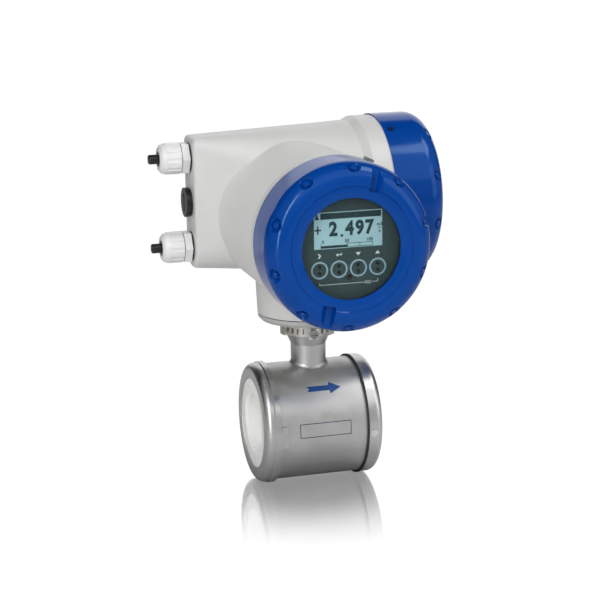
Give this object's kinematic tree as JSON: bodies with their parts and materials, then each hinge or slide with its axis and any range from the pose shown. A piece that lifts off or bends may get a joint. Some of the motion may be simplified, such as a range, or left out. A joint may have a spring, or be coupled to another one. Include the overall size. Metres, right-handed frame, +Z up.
{
  "type": "electromagnetic flow meter",
  "caption": "Wafer flow meter: a steel and ceramic tube sensor carries a grey converter housing on its neck, with a round blue display cover in front and a blind blue cover at the side.",
  "frame": {"origin": "centre of the flow bore at mid length", "axes": "+X along the flow bore in the flow direction, +Z up the neck towards the converter, the display looks along -Y"},
  "size_m": [0.2363, 0.1972, 0.314],
  "materials": {
    "blasted_steel": "bead blasted stainless steel",
    "white_ceramic": "fine ground oxide ceramic",
    "bright_metal": "bright turned metal",
    "black_rubber": "matt elastomer",
    "coil_copper": "enamelled copper winding",
    "soft_iron": "bare soft iron",
    "cast_aluminium": "bare casting",
    "base_grey_paint": "satin polyester paint",
    "housing_grey_paint": "satin polyester paint",
    "cover_blue_paint": "gloss polyester paint",
    "window_glass": "clear flat glass",
    "dark_steel": "dark ring",
    "insert_plastic": "moulded plastic",
    "plate_green_grey": "printed foil",
    "lcd": "lit liquid crystal panel",
    "key_ring_print": "moulded ring",
    "eye_black": "dark infrared window",
    "board_green": "terminal carrier",
    "block_grey": "terminal block plastic",
    "gland_white": "light polyamide",
    "insert_rubber": "soft sealing rubber",
    "black_plastic": "black polyamide"
  },
  "bodies": {
    "meter": {"sensor_housing": "blasted_steel", "inlet_ring": "blasted_steel", "outlet_ring": "blasted_steel", "inlet_ring_seal": "black_rubber", "outlet_ring_seal": "black_rubber", "ceramic_tube": "white_ceramic", "electrode_front": "bright_metal", "electrode_back": "bright_metal", "field_coil_upper": "coil_copper", "field_coil_lower": "coil_copper", "pole_core_upper": "soft_iron", "pole_core_lower": "soft_iron", "field_yoke": "soft_iron", "ring_screw": "bright_metal", "locating_tab": "blasted_steel", "neck_crown": "cast_aluminium", "earth_clamp": "bright_metal", "earth_screw": "bright_metal", "base_plate": "base_grey_paint", "base_gasket": "black_rubber", "converter_housing": "housing_grey_paint", "display_lock_claw": "bright_metal", "electronics_insert": "insert_plastic", "display_plate": "plate_green_grey", "lcd_panel": "lcd", "key_ring_1": "key_ring_print", "key_ring_2": "key_ring_print", "key_ring_3": "key_ring_print", "key_ring_4": "key_ring_print", "optical_eyes": "eye_black", "terminal_board": "board_green", "terminal_block_front": "block_grey", "terminal_block_back": "block_grey", "clamp_screws": "bright_metal", "gland_washer_upper": "black_rubber", "gland_body_upper": "gland_white", "gland_washer_lower": "black_rubber", "gland_body_lower": "gland_white"},
    "display_seal_ring": {"display_cover_seal": "black_rubber"},
    "display_cover_body": {"display_cover": "cover_blue_paint", "display_window": "window_glass", "window_gasket": "black_rubber", "window_ring": "dark_steel"},
    "terminal_seal_ring": {"terminal_cover_seal": "black_rubber"},
    "terminal_cover_body": {"terminal_cover": "cover_blue_paint", "terminal_lock_screw": "bright_metal"},
    "upper_insert": {"gland_insert_upper": "insert_rubber"},
    "upper_nut": {"gland_nut_upper": "gland_white"},
    "upper_pin": {"sealing_pin_upper": "black_plastic"},
    "lower_insert": {"gland_insert_lower": "insert_rubber"},
    "lower_nut": {"gland_nut_lower": "gland_white"},
    "lower_pin": {"sealing_pin_lower": "black_plastic"},
    "plug_seal_ring": {"blanking_plug_seal": "black_rubber"},
    "plug": {"blanking_plug": "black_plastic"}
  },
  "joints": [
    {"name": "display_cover_lift", "type": "slide", "parent": "meter", "child": "display_seal_ring", "axis": [0, -1, 0], "range_m": [0, 0.01]},
    {"name": "display_cover_turn", "type": "hinge", "parent": "display_seal_ring", "child": "display_cover_body", "pos_m": [0, -0.0828, 0.173], "axis": [0, -1, 0], "range_deg": [0, 1800]},
    {"name": "terminal_cover_lift", "type": "slide", "parent": "meter", "child": "terminal_seal_ring", "axis": [1, 0, 0], "range_m": [0, 0.01]},
    {"name": "terminal_cover_turn", "type": "hinge", "parent": "terminal_seal_ring", "child": "terminal_cover_body", "pos_m": [0.0579, 0, 0.1932], "axis": [1, 0, 0], "range_deg": [0, 1800]},
    {"name": "gland_nut_upper_lift", "type": "slide", "parent": "meter", "child": "upper_insert", "axis": [-1, 0, 0], "range_m": [0, 0.0075]},
    {"name": "gland_nut_upper_turn", "type": "hinge", "parent": "upper_insert", "child": "upper_nut", "pos_m": [-0.11, 0, 0.2333], "axis": [-1, 0, 0], "range_deg": [0, 1800]},
    {"name": "sealing_pin_upper_pull", "type": "slide", "parent": "upper_insert", "child": "upper_pin", "axis": [-1, 0, 0], "range_m": [0, 0.012]},
    {"name": "gland_nut_lower_lift", "type": "slide", "parent": "meter", "child": "lower_insert", "axis": [-1, 0, 0], "range_m": [0, 0.0075]},
    {"name": "gland_nut_lower_turn", "type": "hinge", "parent": "lower_insert", "child": "lower_nut", "pos_m": [-0.11, 0, 0.1589], "axis": [-1, 0, 0], "range_deg": [0, 1800]},
    {"name": "sealing_pin_lower_pull", "type": "slide", "parent": "lower_insert", "child": "lower_pin", "axis": [-1, 0, 0], "range_m": [0, 0.012]},
    {"name": "blanking_plug_lift", "type": "slide", "parent": "meter", "child": "plug_seal_ring", "axis": [-1, 0, 0], "range_m": [0, 0.00675]},
    {"name": "blanking_plug_turn", "type": "hinge", "parent": "plug_seal_ring", "child": "plug", "pos_m": [-0.1, 0, 0.1961], "axis": [-1, 0, 0], "range_deg": [0, 1620]}
  ],
  "couplings": [
    {"joint": "display_cover_lift", "follows": "display_cover_turn", "m_per_rad": 0.0003183},
    {"joint": "terminal_cover_lift", "follows": "terminal_cover_turn", "m_per_rad": 0.0003183},
    {"joint": "gland_nut_upper_lift", "follows": "gland_nut_upper_turn", "m_per_rad": 0.0002387},
    {"joint": "gland_nut_lower_lift", "follows": "gland_nut_lower_turn", "m_per_rad": 0.0002387},
    {"joint": "blanking_plug_lift", "follows": "blanking_plug_turn", "m_per_rad": 0.0002387}
  ]
}
